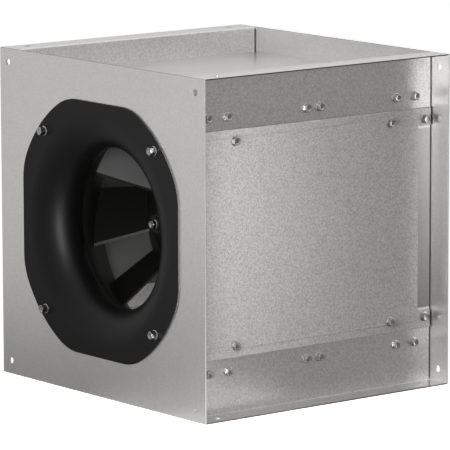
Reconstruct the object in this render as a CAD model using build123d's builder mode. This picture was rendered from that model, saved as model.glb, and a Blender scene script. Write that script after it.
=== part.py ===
from build123d import *
from math import cos, radians, sin
import os

# Square inline duct blower. Air enters at the front (-Y), leaves at the back (+Y), +Z is up.
# The origin is under the middle of the whole envelope, on the plane of the bottom rails.

# Casing
case_width = 483.0
case_length = 448.0
plate_sheet = 2.0
sheet = 1.6
recess = 38.1
rail_web_height = 110.0
rail_web_end_gap = 1.5
bend_radius = 2.0
pan_side_flange = 38.0
pan_end_flange = 14.0
outlet_border = 55.5
outlet_corner_radius = 12.0
post_leg = 40.0
post_foot = 14.0

# Mounting holes
mount_hole = 9.5
plate_hole_inset = 20.0
rail_hole_inset = 17.5
rail_hole_end_inset = 36.0

# Access panels
panel_edge_inset = 81.0
panel_end_gap = 2.0
panel_hem_width = 8.5
panel_hem_sheet = 0.8
panel_notch_depth = 23.4
panel_notch_inset = 106.0
panel_screw_inset = 96.5
panel_screw_end_inset = 81.6
panel_tab_end_inset = 15.7

# Hexagon washer-head screws
screw_shank = 6.0
screw_hole = 6.4
screw_washer = 13.8
screw_washer_thickness = 1.4
screw_across_flats = 10.5
screw_head_height = 5.8
screw_length = 12.0
rail_screw_inset = 61.4
rail_screw_middle_offset = 12.0
rail_screw_outer_inset = 69.5
rail_screw_end_inset = 34.7

# Inlet bell
bell_sheet = 2.0
flange_corner_radius = 85.0
flange_round_margin = 32.0
flange_flat_margin = 18.0
flange_bolt_margin = 18.4
bell_mouth_radius = 166.0
throat_radius = 116.3
throat_depth = 37.0
exit_bend_radius = 35.5
exit_bend_angle = 42.5
plate_opening_clearance = 3.0
bell_bolt_head_height = 8.6
nut_height = 5.0

# Wheel
blade_count = 8
blade_sheet = 2.0
wheel_sheet = 2.0
throat_running_gap = 3.0
shroud_overlap = 2.0
shroud_lip = 16.6
shroud_bend_radius = 40.0
shroud_rim_radius = 180.0
shroud_depth = 76.0
nose_depth = 100.0
nose_radius = 14.0
hub_rim_radius = 123.0
hub_depth = 76.0
lead_hub_radius = 78.0
lead_shroud_radius = 139.5
lead_hub_angle = -17.2
lead_shroud_angle = -19.4
trail_hub_angle = 15.2
bushing_radius = 20.0
bushing_length = 44.0
bushing_seat_length = 16.0
set_screw = 6.0
retaining_washer = 20.0
retaining_washer_thickness = 2.0

# Motor
shaft_radius = 8.0
bearing_clearance = 0.05
shaft_seat = 20.0
motor_radius = 68.0
motor_length = 126.0
motor_bell_length = 18.0
motor_bell_radius = 44.0
motor_bell_land = 4.0
motor_bell_fillet = 6.0
motor_wheel_gap = 14.0
motor_ring_radius = 94.0
motor_ring_thickness = 4.0
motor_plate_sheet = 3.0
motor_plate_width = 250.0
motor_plate_clearance = 5.0
motor_plate_flange = 22.0
isolator_ring_radius = 82.0
isolator_radius = 11.0
isolator_thickness = 6.0
channel_width = 48.0
channel_depth = 28.0
channel_sheet = 2.0
channel_gap = 10.0

# Wiring entry
grommet_hole = 22.0
grommet_lip = 3.5
grommet_lip_thickness = 2.5
grommet_lip_chamfer = 1.0
grommet_bore = 9.0
grommet_station = 60.0
grommet_inset = 150.0

# Derived stations along the duct
head_projection = bell_sheet + screw_washer_thickness + bell_bolt_head_height
y_front = -(case_length + head_projection) / 2 + head_projection
y_back = y_front + case_length
y_middle = (y_front + y_back) / 2
inside_front = y_front + plate_sheet
inside_back = y_back - plate_sheet
inside_length = inside_back - inside_front
half_width = case_width / 2
half_length = case_length / 2
axis_height = case_width / 2
web_outside = half_width - recess
web_inside = web_outside - sheet
pan_outside = case_width - recess
wheel_axis = Axis((0, 0, axis_height), (0, 1, 0))


def across(y):
    """Cross-section of the duct at a station. Its normal looks to the inlet."""
    return Plane.XZ.offset(-y)


def along_axis(y=0.0):
    """Plane through the duct axis: its first direction runs downstream, its second is the radius."""
    return Plane(origin=(0, y, axis_height), x_dir=(0, 1, 0), z_dir=(1, 0, 0))


def seats(points, outward):
    """Screw seats, each facing outward from its surface."""
    return [Plane(origin=point, z_dir=outward) for point in points]


def holes(places, diameter, reach):
    with BuildSketch(*places) as outline:
        Circle(diameter / 2)
    extrude(outline.sketch, amount=reach, both=True, mode=Mode.SUBTRACT)


def hex_screws(places, length=screw_length, head_height=screw_head_height):
    with BuildSketch(*places) as washer:
        Circle(screw_washer / 2)
    extrude(washer.sketch, amount=screw_washer_thickness)
    with BuildSketch(*[place.offset(screw_washer_thickness) for place in places]) as head:
        RegularPolygon(screw_across_flats / 2, 6, major_radius=False)
    extrude(head.sketch, amount=head_height)
    with BuildSketch(*places) as shank:
        Circle(screw_shank / 2)
    extrude(shank.sketch, amount=-length)


def hex_nuts(places):
    with BuildSketch(*places) as outline:
        RegularPolygon(screw_across_flats / 2, 6, major_radius=False)
        Circle(screw_shank / 2, mode=Mode.SUBTRACT)
    extrude(outline.sketch, amount=nut_height)


def save(part, name):
    part.label = name
    export_step(part, f"parts/{name}.step")


os.makedirs("parts", exist_ok=True)

# Places shared by holes and fasteners
plate_hole_spacing = case_width - 2 * plate_hole_inset
rail_hole_offset = half_width - rail_hole_inset
rail_hole_stations = [y_middle + way * (half_length - rail_hole_end_inset) for way in (-1, 1)]
rail_screw_ends = (half_length - rail_screw_outer_inset, half_length - rail_screw_end_inset)
rail_screw_stations = (rail_screw_middle_offset, *rail_screw_ends)
all_rail_stations = [y_middle + way * station for station in rail_screw_stations for way in (-1, 1)]
panel_screw_stations = (half_length - panel_screw_end_inset, half_length - panel_tab_end_inset)
all_panel_stations = [y_middle + way * station for station in panel_screw_stations for way in (-1, 1)]
bolt_offset = (bell_mouth_radius + flange_bolt_margin) * cos(radians(45))
corner_ways = [(-1, -1), (-1, 1), (1, -1), (1, 1)]
flange_bolt_points = [(h * bolt_offset, axis_height + v * bolt_offset) for h, v in corner_ways]

# Inlet plate
with BuildPart() as inlet_plate:
    with BuildSketch(across(inside_front)):
        with Locations((0, axis_height)):
            Rectangle(case_width, case_width)
            Circle(bell_mouth_radius + plate_opening_clearance, mode=Mode.SUBTRACT)
            with GridLocations(plate_hole_spacing, plate_hole_spacing, 2, 2):
                Circle(mount_hole / 2, mode=Mode.SUBTRACT)
            with GridLocations(2 * bolt_offset, 2 * bolt_offset, 2, 2):
                Circle(screw_hole / 2, mode=Mode.SUBTRACT)
    extrude(amount=plate_sheet)
save(inlet_plate.part, "inlet_plate")

# Outlet frame
outlet_opening = case_width - 2 * outlet_border
with BuildPart() as outlet_frame:
    with BuildSketch(across(y_back)):
        with Locations((0, axis_height)):
            Rectangle(case_width, case_width)
            RectangleRounded(outlet_opening, outlet_opening, outlet_corner_radius, mode=Mode.SUBTRACT)
            with GridLocations(plate_hole_spacing, plate_hole_spacing, 2, 2):
                Circle(mount_hole / 2, mode=Mode.SUBTRACT)
    extrude(amount=plate_sheet)
save(outlet_frame.part, "outlet_frame")


def corner_rail(side, level):
    """Folded rail: an outward flange level with the plate edges and a web just short of both plates."""
    edge = case_width / 2 * (1 + level)
    web_end = edge - level * rail_web_height
    skin = edge - level * sheet
    with BuildPart() as rail:
        with BuildSketch(across(inside_back)) as section:
            with BuildLine():
                Polyline(
                    (side * half_width, edge),
                    (side * web_inside, edge),
                    (side * web_inside, web_end),
                    (side * web_outside, web_end),
                    (side * web_outside, skin),
                    (side * half_width, skin),
                    close=True,
                )
            make_face()
            fillet(section.vertices().sort_by_distance((side * web_inside, edge))[0], bend_radius)
            fillet(section.vertices().sort_by_distance((side * web_outside, skin))[0], bend_radius - sheet)
        extrude(amount=inside_length)
        web_top = edge - level * (sheet + bend_radius)
        for y in (inside_back, inside_front + rail_web_end_gap):
            with BuildSketch(across(y)):
                with Locations((side * (web_inside + sheet / 2), (web_top + web_end) / 2)):
                    Rectangle(2 * sheet, abs(web_top - web_end))
            extrude(amount=rail_web_end_gap, mode=Mode.SUBTRACT)
        flange_points = [(side * rail_hole_offset, y, edge) for y in rail_hole_stations]
        holes(seats(flange_points, (0, 0, 1)), mount_hole, 2 * sheet)
        screw_height = edge - level * rail_screw_inset
        web_points = [(side * web_outside, y, screw_height) for y in all_rail_stations]
        panel_height = edge - level * panel_screw_inset
        web_points += [(side * web_outside, y, panel_height) for y in all_panel_stations]
        holes(seats(web_points, (side, 0, 0)), screw_hole, 2 * sheet)
    return rail.part


for side, side_name in ((1, "right"), (-1, "left")):
    for level, level_name in ((1, "top"), (-1, "bottom")):
        save(corner_rail(side, level), f"rail_{level_name}_{side_name}")


def corner_post(side, end):
    """Upright angle in a corner of the box, between the webs of two rails, flush with them."""
    plate_face = y_middle + end * inside_length / 2
    with BuildPart() as post:
        with BuildSketch(Plane.XY.offset(rail_web_height)):
            with BuildLine():
                Polyline(
                    (side * web_outside, plate_face),
                    (side * web_outside, plate_face - end * post_leg),
                    (side * web_inside, plate_face - end * post_leg),
                    (side * web_inside, plate_face - end * sheet),
                    (side * (web_outside - post_foot), plate_face - end * sheet),
                    (side * (web_outside - post_foot), plate_face),
                    close=True,
                )
            make_face()
        extrude(amount=case_width - 2 * rail_web_height)
    return post.part


for side, side_name in ((1, "right"), (-1, "left")):
    for end, end_name in ((-1, "front"), (1, "back")):
        save(corner_post(side, end), f"post_{end_name}_{side_name}")


def pan(level):
    """Top or bottom of the box: a flat pan with its edges turned in towards the duct."""
    face = axis_height + level * (pan_outside - axis_height)
    skin = face - level * sheet
    with BuildPart() as box_pan:
        with BuildSketch(across(inside_back)):
            with BuildLine():
                Polyline(
                    (-web_inside, face),
                    (web_inside, face),
                    (web_inside, face - level * pan_side_flange),
                    (web_inside - sheet, face - level * pan_side_flange),
                    (web_inside - sheet, skin),
                    (-web_inside + sheet, skin),
                    (-web_inside + sheet, face - level * pan_side_flange),
                    (-web_inside, face - level * pan_side_flange),
                    close=True,
                )
            make_face()
        extrude(amount=inside_length)
        for y in (inside_back, inside_front + sheet):
            with BuildSketch(across(y)):
                with Locations((0, face - level * (sheet + pan_end_flange) / 2)):
                    Rectangle(2 * (web_inside - sheet), pan_end_flange - sheet)
            extrude(amount=sheet)
        screw_height = case_width / 2 * (1 + level) - level * rail_screw_inset
        for side in (1, -1):
            points = [(side * web_inside, y, screw_height) for y in all_rail_stations]
            holes(seats(points, (side, 0, 0)), screw_hole, 2 * sheet)
    return box_pan.part


save(pan(1), "top_pan")
save(pan(-1), "bottom_pan")

# Access panels, lapped over the rail webs and screwed to them
panel_height = case_width - 2 * panel_edge_inset
panel_length = inside_length - 2 * panel_end_gap
panel_notch_height = case_width - 2 * panel_notch_inset
panel_face = web_outside + sheet
panel_rows = (panel_screw_inset, case_width - panel_screw_inset)
grommet_point = (-panel_face, y_middle + grommet_station, grommet_inset)


def access_panel(side):
    with BuildPart() as panel:
        with BuildSketch(Plane.YZ.offset(side * web_outside)):
            with Locations((y_middle, axis_height)):
                Rectangle(panel_length, panel_height)
            for way in (-1, 1):
                notch_middle = y_middle + way * (panel_length - panel_notch_depth) / 2
                with Locations((notch_middle, axis_height)):
                    Rectangle(panel_notch_depth, panel_notch_height, mode=Mode.SUBTRACT)
        extrude(amount=side * sheet)
        with BuildSketch(Plane.YZ.offset(side * panel_face)):
            for way in (-1, 1):
                with Locations((y_middle, axis_height + way * (panel_height - panel_hem_width) / 2)):
                    Rectangle(panel_length, panel_hem_width)
        extrude(amount=side * panel_hem_sheet)
        points = [(side * panel_face, y, z) for y in all_panel_stations for z in panel_rows]
        holes(seats(points, (side, 0, 0)), screw_hole, 2 * sheet)
        if side < 0:
            holes(seats([grommet_point], (side, 0, 0)), grommet_hole, 2 * sheet)
    return panel.part


save(access_panel(1), "access_panel_right")
save(access_panel(-1), "access_panel_left")

# Screws of the rails and panels
rail_rows = (rail_screw_inset, case_width - rail_screw_inset)
with BuildPart() as rail_screws:
    for side in (1, -1):
        points = [(side * web_outside, y, z) for y in all_rail_stations for z in rail_rows]
        hex_screws(seats(points, (side, 0, 0)))
save(rail_screws.part, "rail_screws")

with BuildPart() as panel_screws:
    for side in (1, -1):
        points = [(side * panel_face, y, z) for y in all_panel_stations for z in panel_rows]
        hex_screws(seats(points, (side, 0, 0)))
save(panel_screws.part, "panel_screws")

# Inlet bell: a clipped round flange on the plate, an elliptical mouth and a short flared exit
bell_front = y_front - bell_sheet
bell_throat = throat_depth + bell_sheet
mouth_width = bell_mouth_radius - throat_radius
flange_across_flats = 2 * (bell_mouth_radius + flange_flat_margin)
exit_centre = (bell_throat, throat_radius + exit_bend_radius)
exit_depth = throat_depth + exit_bend_radius * sin(radians(exit_bend_angle))
exit_rim_radius = exit_centre[1] - (exit_bend_radius - bell_sheet) * cos(radians(exit_bend_angle))
with BuildPart() as inlet_bell:
    with BuildSketch(across(y_front)):
        with Locations((0, axis_height)):
            Circle(bell_mouth_radius + flange_round_margin)
            Rectangle(flange_across_flats, flange_across_flats, mode=Mode.INTERSECT)
        fillet(vertices(), flange_corner_radius)
        with Locations((0, axis_height)):
            Circle(bell_mouth_radius, mode=Mode.SUBTRACT)
            with GridLocations(2 * bolt_offset, 2 * bolt_offset, 2, 2):
                Circle(screw_hole / 2, mode=Mode.SUBTRACT)
    extrude(amount=bell_sheet)
    with BuildSketch(along_axis(bell_front)):
        with BuildLine():
            EllipticalCenterArc(
                (bell_throat, bell_mouth_radius), bell_throat, mouth_width, start_angle=180, arc_size=90
            )
            inner_exit = CenterArc(exit_centre, exit_bend_radius, 270, exit_bend_angle)
            outer_exit = CenterArc(exit_centre, exit_bend_radius - bell_sheet, 270, exit_bend_angle)
            Line(inner_exit @ 1, outer_exit @ 1)
            EllipticalCenterArc(
                (bell_throat, bell_mouth_radius),
                bell_throat - bell_sheet,
                mouth_width - bell_sheet,
                start_angle=180,
                arc_size=90,
            )
            Line((0, bell_mouth_radius), (bell_sheet, bell_mouth_radius))
        make_face()
    revolve(axis=wheel_axis)
save(inlet_bell.part, "inlet_bell")

with BuildPart() as bell_bolts:
    bolt_seats = seats([(x, bell_front, z) for x, z in flange_bolt_points], (0, -1, 0))
    hex_screws(bolt_seats, head_height=bell_bolt_head_height)
save(bell_bolts.part, "bell_bolts")

with BuildPart() as bell_nuts:
    hex_nuts(seats([(x, inside_front, z) for x, z in flange_bolt_points], (0, 1, 0)))
save(bell_nuts.part, "bell_nuts")

# Wheel: stations are counted from the front of the inlet plate
shroud_start = exit_depth - shroud_overlap
shroud_bore = exit_rim_radius + throat_running_gap
shroud_end = shroud_start + shroud_depth
shroud_slope = (shroud_rim_radius - shroud_bore) / (shroud_depth - shroud_lip)
hub_end = nose_depth + hub_depth
hub_slope = (hub_rim_radius - nose_radius) / hub_depth


def hub_station(radius):
    """Station of the hub cone's outer face at a radius."""
    return nose_depth + (radius - nose_radius) / hub_slope


def shroud_station(radius):
    """Station of the shroud cone's inner face at a radius."""
    return shroud_start + shroud_lip + (radius - shroud_bore) / shroud_slope


def wheel_point(radius, angle, station):
    """Point of a blade: the angle climbs from the left of the axis."""
    x = -radius * cos(radians(angle))
    z = axis_height + radius * sin(radians(angle))
    return Vector(x, y_front + station, z)


inner_bend = (shroud_start + shroud_lip, shroud_bore)
outer_bend = (shroud_start + shroud_lip - wheel_sheet / 2, shroud_bore + wheel_sheet)
with BuildPart() as wheel_shroud:
    with BuildSketch(along_axis(y_front)) as section:
        with BuildLine():
            Polyline(
                (shroud_start, shroud_bore),
                inner_bend,
                (shroud_end, shroud_rim_radius),
                (shroud_end, shroud_rim_radius + wheel_sheet),
                outer_bend,
                (shroud_start, shroud_bore + wheel_sheet),
                close=True,
            )
        make_face()
        fillet(section.vertices().sort_by_distance(inner_bend)[0], shroud_bend_radius)
        fillet(section.vertices().sort_by_distance(outer_bend)[0], shroud_bend_radius - wheel_sheet)
    revolve(axis=wheel_axis)
save(wheel_shroud.part, "wheel_shroud")

with BuildPart() as wheel_hub_cone:
    with BuildSketch(along_axis(y_front)):
        with BuildLine():
            Polyline(
                (nose_depth, screw_hole / 2),
                (nose_depth, nose_radius),
                (hub_end, hub_rim_radius),
                (hub_end + wheel_sheet, hub_rim_radius),
                (nose_depth + wheel_sheet, nose_radius),
                (nose_depth + wheel_sheet, screw_hole / 2),
                close=True,
            )
        make_face()
    revolve(axis=wheel_axis)
save(wheel_hub_cone.part, "wheel_hub_cone")

# Flat blade, cut to the passage between the two cones
lead_hub = wheel_point(lead_hub_radius, lead_hub_angle, hub_station(lead_hub_radius))
lead_shroud = wheel_point(lead_shroud_radius, lead_shroud_angle, shroud_station(lead_shroud_radius))
trail_hub = wheel_point(hub_rim_radius, trail_hub_angle, hub_station(hub_rim_radius))
blade_middle = (lead_hub + lead_shroud + trail_hub) * (1 / 3)
blade_plane = Plane(
    origin=blade_middle,
    x_dir=lead_shroud - lead_hub,
    z_dir=(lead_shroud - lead_hub).cross(trail_hub - lead_hub),
)
with BuildPart() as blade:
    with BuildSketch(blade_plane):
        Rectangle(shroud_rim_radius, shroud_rim_radius)
    extrude(amount=blade_sheet / 2, both=True)
    with BuildSketch(along_axis(y_front)):
        with BuildLine():
            Polyline(
                (hub_station(lead_hub_radius), lead_hub_radius),
                (shroud_station(lead_shroud_radius), lead_shroud_radius),
                (shroud_end, shroud_rim_radius),
                (hub_end, hub_rim_radius),
                close=True,
            )
        make_face()
    revolve(axis=wheel_axis, mode=Mode.INTERSECT)
with BuildPart() as wheel_blades:
    for index in range(blade_count):
        add(blade.part.rotate(wheel_axis, index * 360 / blade_count))
save(wheel_blades.part, "wheel_blades")

# Bushing: a cone that seats in the nose of the hub, and a barrel with a set screw
bushing_start = nose_depth + wheel_sheet
seat_end = bushing_start + bushing_seat_length
bushing_end = bushing_start + bushing_length
set_screw_station = (seat_end + bushing_end) / 2
with BuildPart() as wheel_bushing:
    with BuildSketch(along_axis(y_front)):
        with BuildLine():
            Polyline(
                (bushing_start, shaft_radius),
                (bushing_start, nose_radius),
                (seat_end, nose_radius + bushing_seat_length * hub_slope),
                (seat_end, bushing_radius),
                (bushing_end, bushing_radius),
                (bushing_end, shaft_radius),
                close=True,
            )
        make_face()
    revolve(axis=wheel_axis)
    with BuildSketch(Plane.XY.offset(axis_height)):
        with Locations((0, y_front + set_screw_station)):
            Circle(set_screw / 2)
    extrude(amount=bushing_radius, mode=Mode.SUBTRACT)
save(wheel_bushing.part, "wheel_bushing")

with BuildPart() as bushing_set_screw:
    with BuildSketch(Plane.XY.offset(axis_height + shaft_radius)):
        with Locations((0, y_front + set_screw_station)):
            Circle(set_screw / 2)
    extrude(amount=bushing_radius - shaft_radius)
save(bushing_set_screw.part, "bushing_set_screw")

with BuildPart() as retaining_disc:
    with BuildSketch(across(y_front + nose_depth)):
        with Locations((0, axis_height)):
            Circle(retaining_washer / 2)
            Circle(screw_hole / 2, mode=Mode.SUBTRACT)
    extrude(amount=retaining_washer_thickness)
save(retaining_disc.part, "retaining_washer")

retaining_face = y_front + nose_depth - retaining_washer_thickness
retaining_length = 4 * screw_shank
with BuildPart() as retaining_bolt:
    hex_screws(seats([(0, retaining_face, axis_height)], (0, -1, 0)), retaining_length)
save(retaining_bolt.part, "retaining_bolt")

# Shaft and motor
motor_start = bushing_end + motor_wheel_gap
bell_end = motor_start + motor_bell_length
motor_end = bell_end + motor_length
shaft_end = motor_start + shaft_seat
with BuildPart() as motor_shaft:
    with BuildSketch(across(y_front + shaft_end)):
        with Locations((0, axis_height)):
            Circle(shaft_radius)
    extrude(amount=shaft_end - bushing_start)
    with BuildSketch(across(retaining_face + retaining_length)):
        with Locations((0, axis_height)):
            Circle(screw_shank / 2)
    extrude(amount=retaining_length, mode=Mode.SUBTRACT)
save(motor_shaft.part, "motor_shaft")

bearing_radius = shaft_radius + bearing_clearance


def end_bell(joint_station, way, bore_radius):
    """End bell of the motor: a rounded cone on a short land, growing from the joint with the body."""
    crown = (joint_station + way * motor_bell_length, motor_bell_radius)
    shoulder = (joint_station + way * motor_bell_land, motor_radius)
    with BuildPart() as bell:
        with BuildSketch(along_axis(y_front)) as section:
            with BuildLine():
                Polyline(
                    (joint_station, bore_radius),
                    (joint_station, motor_radius),
                    shoulder,
                    crown,
                    (crown[0], bore_radius),
                    close=True,
                )
            make_face()
            for corner in (crown, shoulder):
                fillet(section.vertices().sort_by_distance(corner)[0], motor_bell_fillet)
        revolve(axis=wheel_axis)
    return bell.part


save(end_bell(bell_end, -1, bearing_radius), "motor_front_bell")
save(end_bell(motor_end, 1, 0), "motor_back_bell")

ring_start = y_middle - y_front + motor_plate_sheet / 2 + isolator_thickness
ring_end = ring_start + motor_ring_thickness
with BuildPart() as motor_body:
    with BuildSketch(across(y_front + motor_end)):
        with Locations((0, axis_height)):
            Circle(motor_radius)
    extrude(amount=motor_length)
    with BuildSketch(across(y_front + ring_end)):
        with Locations((0, axis_height)):
            Circle(motor_ring_radius)
    extrude(amount=motor_ring_thickness)
    with BuildSketch(across(y_front + bell_end)):
        with Locations((0, axis_height)):
            Circle(bearing_radius)
    extrude(amount=-(shaft_end - bell_end + bearing_clearance), mode=Mode.SUBTRACT)
    with BuildSketch(across(y_front + ring_start)):
        with Locations((0, axis_height)):
            with PolarLocations(isolator_ring_radius, 4, start_angle=45):
                Circle(screw_hole / 2)
    extrude(amount=-motor_ring_thickness, mode=Mode.SUBTRACT)
save(motor_body.part, "motor_body")

# Cross channels between the webs, and the motor plate between the channels
channel_outer = web_inside - sheet
channel_front = y_middle - channel_width / 2
channel_back = y_middle + channel_width / 2
channel_screw_stations = [y_middle + way * rail_screw_middle_offset for way in (-1, 1)]


def cross_channel(level):
    """Channel with its flanges towards the pan and a tab closing each end."""
    face = axis_height + level * (pan_outside - sheet - axis_height - channel_gap)
    base = face - level * channel_depth
    skin = base + level * channel_sheet
    with BuildPart() as channel:
        with BuildSketch(Plane.YZ.offset(-channel_outer)):
            with BuildLine():
                Polyline(
                    (channel_front, face),
                    (channel_front, base),
                    (channel_back, base),
                    (channel_back, face),
                    (channel_back - channel_sheet, face),
                    (channel_back - channel_sheet, skin),
                    (channel_front + channel_sheet, skin),
                    (channel_front + channel_sheet, face),
                    close=True,
                )
            make_face()
        extrude(amount=2 * channel_outer)
        for x in (-channel_outer, channel_outer - channel_sheet):
            with BuildSketch(Plane.YZ.offset(x)):
                with Locations((y_middle, (face + skin) / 2)):
                    Rectangle(channel_width - 2 * channel_sheet, channel_depth - channel_sheet)
            extrude(amount=channel_sheet)
        screw_height = case_width / 2 * (1 + level) - level * rail_screw_inset
        for side in (1, -1):
            points = [(side * channel_outer, y, screw_height) for y in channel_screw_stations]
            holes(seats(points, (side, 0, 0)), screw_hole, 2 * channel_sheet)
        points = [(x, plate_bolt_station, base) for x in plate_bolt_offsets]
        holes(seats(points, (0, 0, 1)), screw_hole, 2 * channel_sheet)
    return channel.part


plate_front = y_middle - motor_plate_sheet / 2
plate_back = y_middle + motor_plate_sheet / 2
plate_lip = plate_front + motor_plate_flange
plate_bolt_station = (plate_back + plate_lip) / 2
plate_bolt_offsets = (-motor_plate_width / 3, motor_plate_width / 3)
plate_half_height = pan_outside - sheet - axis_height - channel_gap - channel_depth
plate_bottom = axis_height - plate_half_height
plate_top = axis_height + plate_half_height
save(cross_channel(1), "cross_channel_top")
save(cross_channel(-1), "cross_channel_bottom")

with BuildPart() as motor_plate:
    with BuildSketch(Plane.YZ.offset(-motor_plate_width / 2)):
        with BuildLine():
            Polyline(
                (plate_front, plate_bottom),
                (plate_front, plate_top),
                (plate_lip, plate_top),
                (plate_lip, plate_top - motor_plate_sheet),
                (plate_back, plate_top - motor_plate_sheet),
                (plate_back, plate_bottom + motor_plate_sheet),
                (plate_lip, plate_bottom + motor_plate_sheet),
                (plate_lip, plate_bottom),
                close=True,
            )
        make_face()
    extrude(amount=motor_plate_width)
    with BuildSketch(across(plate_back)):
        with Locations((0, axis_height)):
            Circle(motor_radius + motor_plate_clearance)
            with PolarLocations(isolator_ring_radius, 4, start_angle=45):
                Circle(screw_hole / 2)
    extrude(amount=motor_plate_sheet, mode=Mode.SUBTRACT)
    for z in (plate_bottom, plate_top):
        points = [(x, plate_bolt_station, z) for x in plate_bolt_offsets]
        holes(seats(points, (0, 0, 1)), screw_hole, 2 * motor_plate_sheet)
save(motor_plate.part, "motor_plate")

with BuildPart() as isolators:
    with BuildSketch(across(y_front + ring_start)):
        with Locations((0, axis_height)):
            with PolarLocations(isolator_ring_radius, 4, start_angle=45):
                Circle(isolator_radius)
                Circle(screw_hole / 2, mode=Mode.SUBTRACT)
    extrude(amount=isolator_thickness)
save(isolators.part, "motor_isolators")

isolator_offset = isolator_ring_radius * cos(radians(45))
isolator_points = [(h * isolator_offset, axis_height + v * isolator_offset) for h, v in corner_ways]
isolator_grip = motor_ring_thickness + isolator_thickness + motor_plate_sheet
with BuildPart() as isolator_bolts:
    points = [(x, y_front + ring_end, z) for x, z in isolator_points]
    hex_screws(seats(points, (0, 1, 0)), isolator_grip + nut_height)
save(isolator_bolts.part, "isolator_bolts")

with BuildPart() as isolator_nuts:
    hex_nuts(seats([(x, plate_front, z) for x, z in isolator_points], (0, -1, 0)))
save(isolator_nuts.part, "isolator_nuts")

with BuildPart() as plate_bolts:
    for level in (1, -1):
        seat_height = axis_height + level * (plate_half_height + channel_sheet)
        points = [(x, plate_bolt_station, seat_height) for x in plate_bolt_offsets]
        hex_screws(seats(points, (0, 0, level)), channel_sheet + motor_plate_sheet + nut_height)
save(plate_bolts.part, "plate_bolts")

# Wiring grommet in the left panel
grommet_neck = grommet_hole / 2
grommet_rim = grommet_neck + grommet_lip
with BuildPart() as wiring_grommet:
    grommet_plane = Plane(origin=grommet_point, x_dir=(-1, 0, 0), z_dir=(0, 0, 1))
    with BuildSketch(grommet_plane):
        with BuildLine():
            Polyline(
                (grommet_lip_thickness, grommet_bore / 2),
                (grommet_lip_thickness, grommet_rim - grommet_lip_chamfer),
                (grommet_lip_thickness - grommet_lip_chamfer, grommet_rim),
                (0, grommet_rim),
                (0, grommet_neck),
                (-sheet, grommet_neck),
                (-sheet, grommet_rim),
                (-sheet - grommet_lip_thickness, grommet_rim - grommet_lip_chamfer),
                (-sheet - grommet_lip_thickness, grommet_bore / 2),
                close=True,
            )
        make_face()
    revolve(axis=Axis(grommet_point, (1, 0, 0)))
save(wiring_grommet.part, "wiring_grommet")
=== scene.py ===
import math

import bmesh
import bpy
import numpy as np
from mathutils import Matrix, Vector


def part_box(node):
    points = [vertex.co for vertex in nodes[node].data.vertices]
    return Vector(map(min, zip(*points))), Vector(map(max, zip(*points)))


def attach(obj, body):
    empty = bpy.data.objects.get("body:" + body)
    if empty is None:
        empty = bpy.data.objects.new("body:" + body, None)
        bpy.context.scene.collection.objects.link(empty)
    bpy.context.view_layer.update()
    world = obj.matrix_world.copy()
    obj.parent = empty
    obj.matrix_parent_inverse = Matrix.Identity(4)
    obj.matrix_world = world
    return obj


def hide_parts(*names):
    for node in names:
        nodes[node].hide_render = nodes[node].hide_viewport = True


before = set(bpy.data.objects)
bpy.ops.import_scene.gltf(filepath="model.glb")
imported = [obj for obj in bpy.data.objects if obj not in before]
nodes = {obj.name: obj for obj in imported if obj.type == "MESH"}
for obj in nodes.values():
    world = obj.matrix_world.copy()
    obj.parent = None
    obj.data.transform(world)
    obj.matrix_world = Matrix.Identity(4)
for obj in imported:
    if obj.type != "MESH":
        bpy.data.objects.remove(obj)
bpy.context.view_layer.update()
scene = bpy.context.scene
print("loaded the packed model:", len(nodes), "nodes")


# camera

camera = {
    "location": (4.6411, -3.6628, 1.2062),
    "azimuth": 51.6533,
    "elevation": 9.399,
    "roll": -0.1588,
    "lens": 329.08,
    "sensor": 36.0,
    "farClip": 60.0,
}


# Unit vector from the object towards a place at these angles. Azimuth 0 is the inlet side, and 90 the right.
def direction(azimuth, elevation):
    a, e = math.radians(azimuth), math.radians(elevation)
    return Vector((math.sin(a) * math.cos(e), -math.cos(a) * math.cos(e), math.sin(e)))


def placeCamera(values):
    azimuth, roll = math.radians(values["azimuth"]), math.radians(values["roll"])
    back = direction(values["azimuth"], values["elevation"])
    level = Vector((math.cos(azimuth), math.sin(azimuth), 0.0))
    upright = back.cross(level)
    right = math.cos(roll) * level + math.sin(roll) * upright
    up = -math.sin(roll) * level + math.cos(roll) * upright
    turn = Matrix((right, up, back)).transposed().to_4x4()
    data = bpy.data.cameras.new("photoCamera")
    data.lens = values["lens"]
    data.sensor_width = values["sensor"]
    data.clip_end = values["farClip"]
    eye = bpy.data.objects.new("photoCamera", data)
    eye.matrix_world = Matrix.Translation(values["location"]) @ turn
    scene.collection.objects.link(eye)
    scene.camera = eye


placeCamera(camera)
scene.view_settings.view_transform = "Standard"
print("placed the camera")


# node helpers

columnWidth = 190


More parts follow.
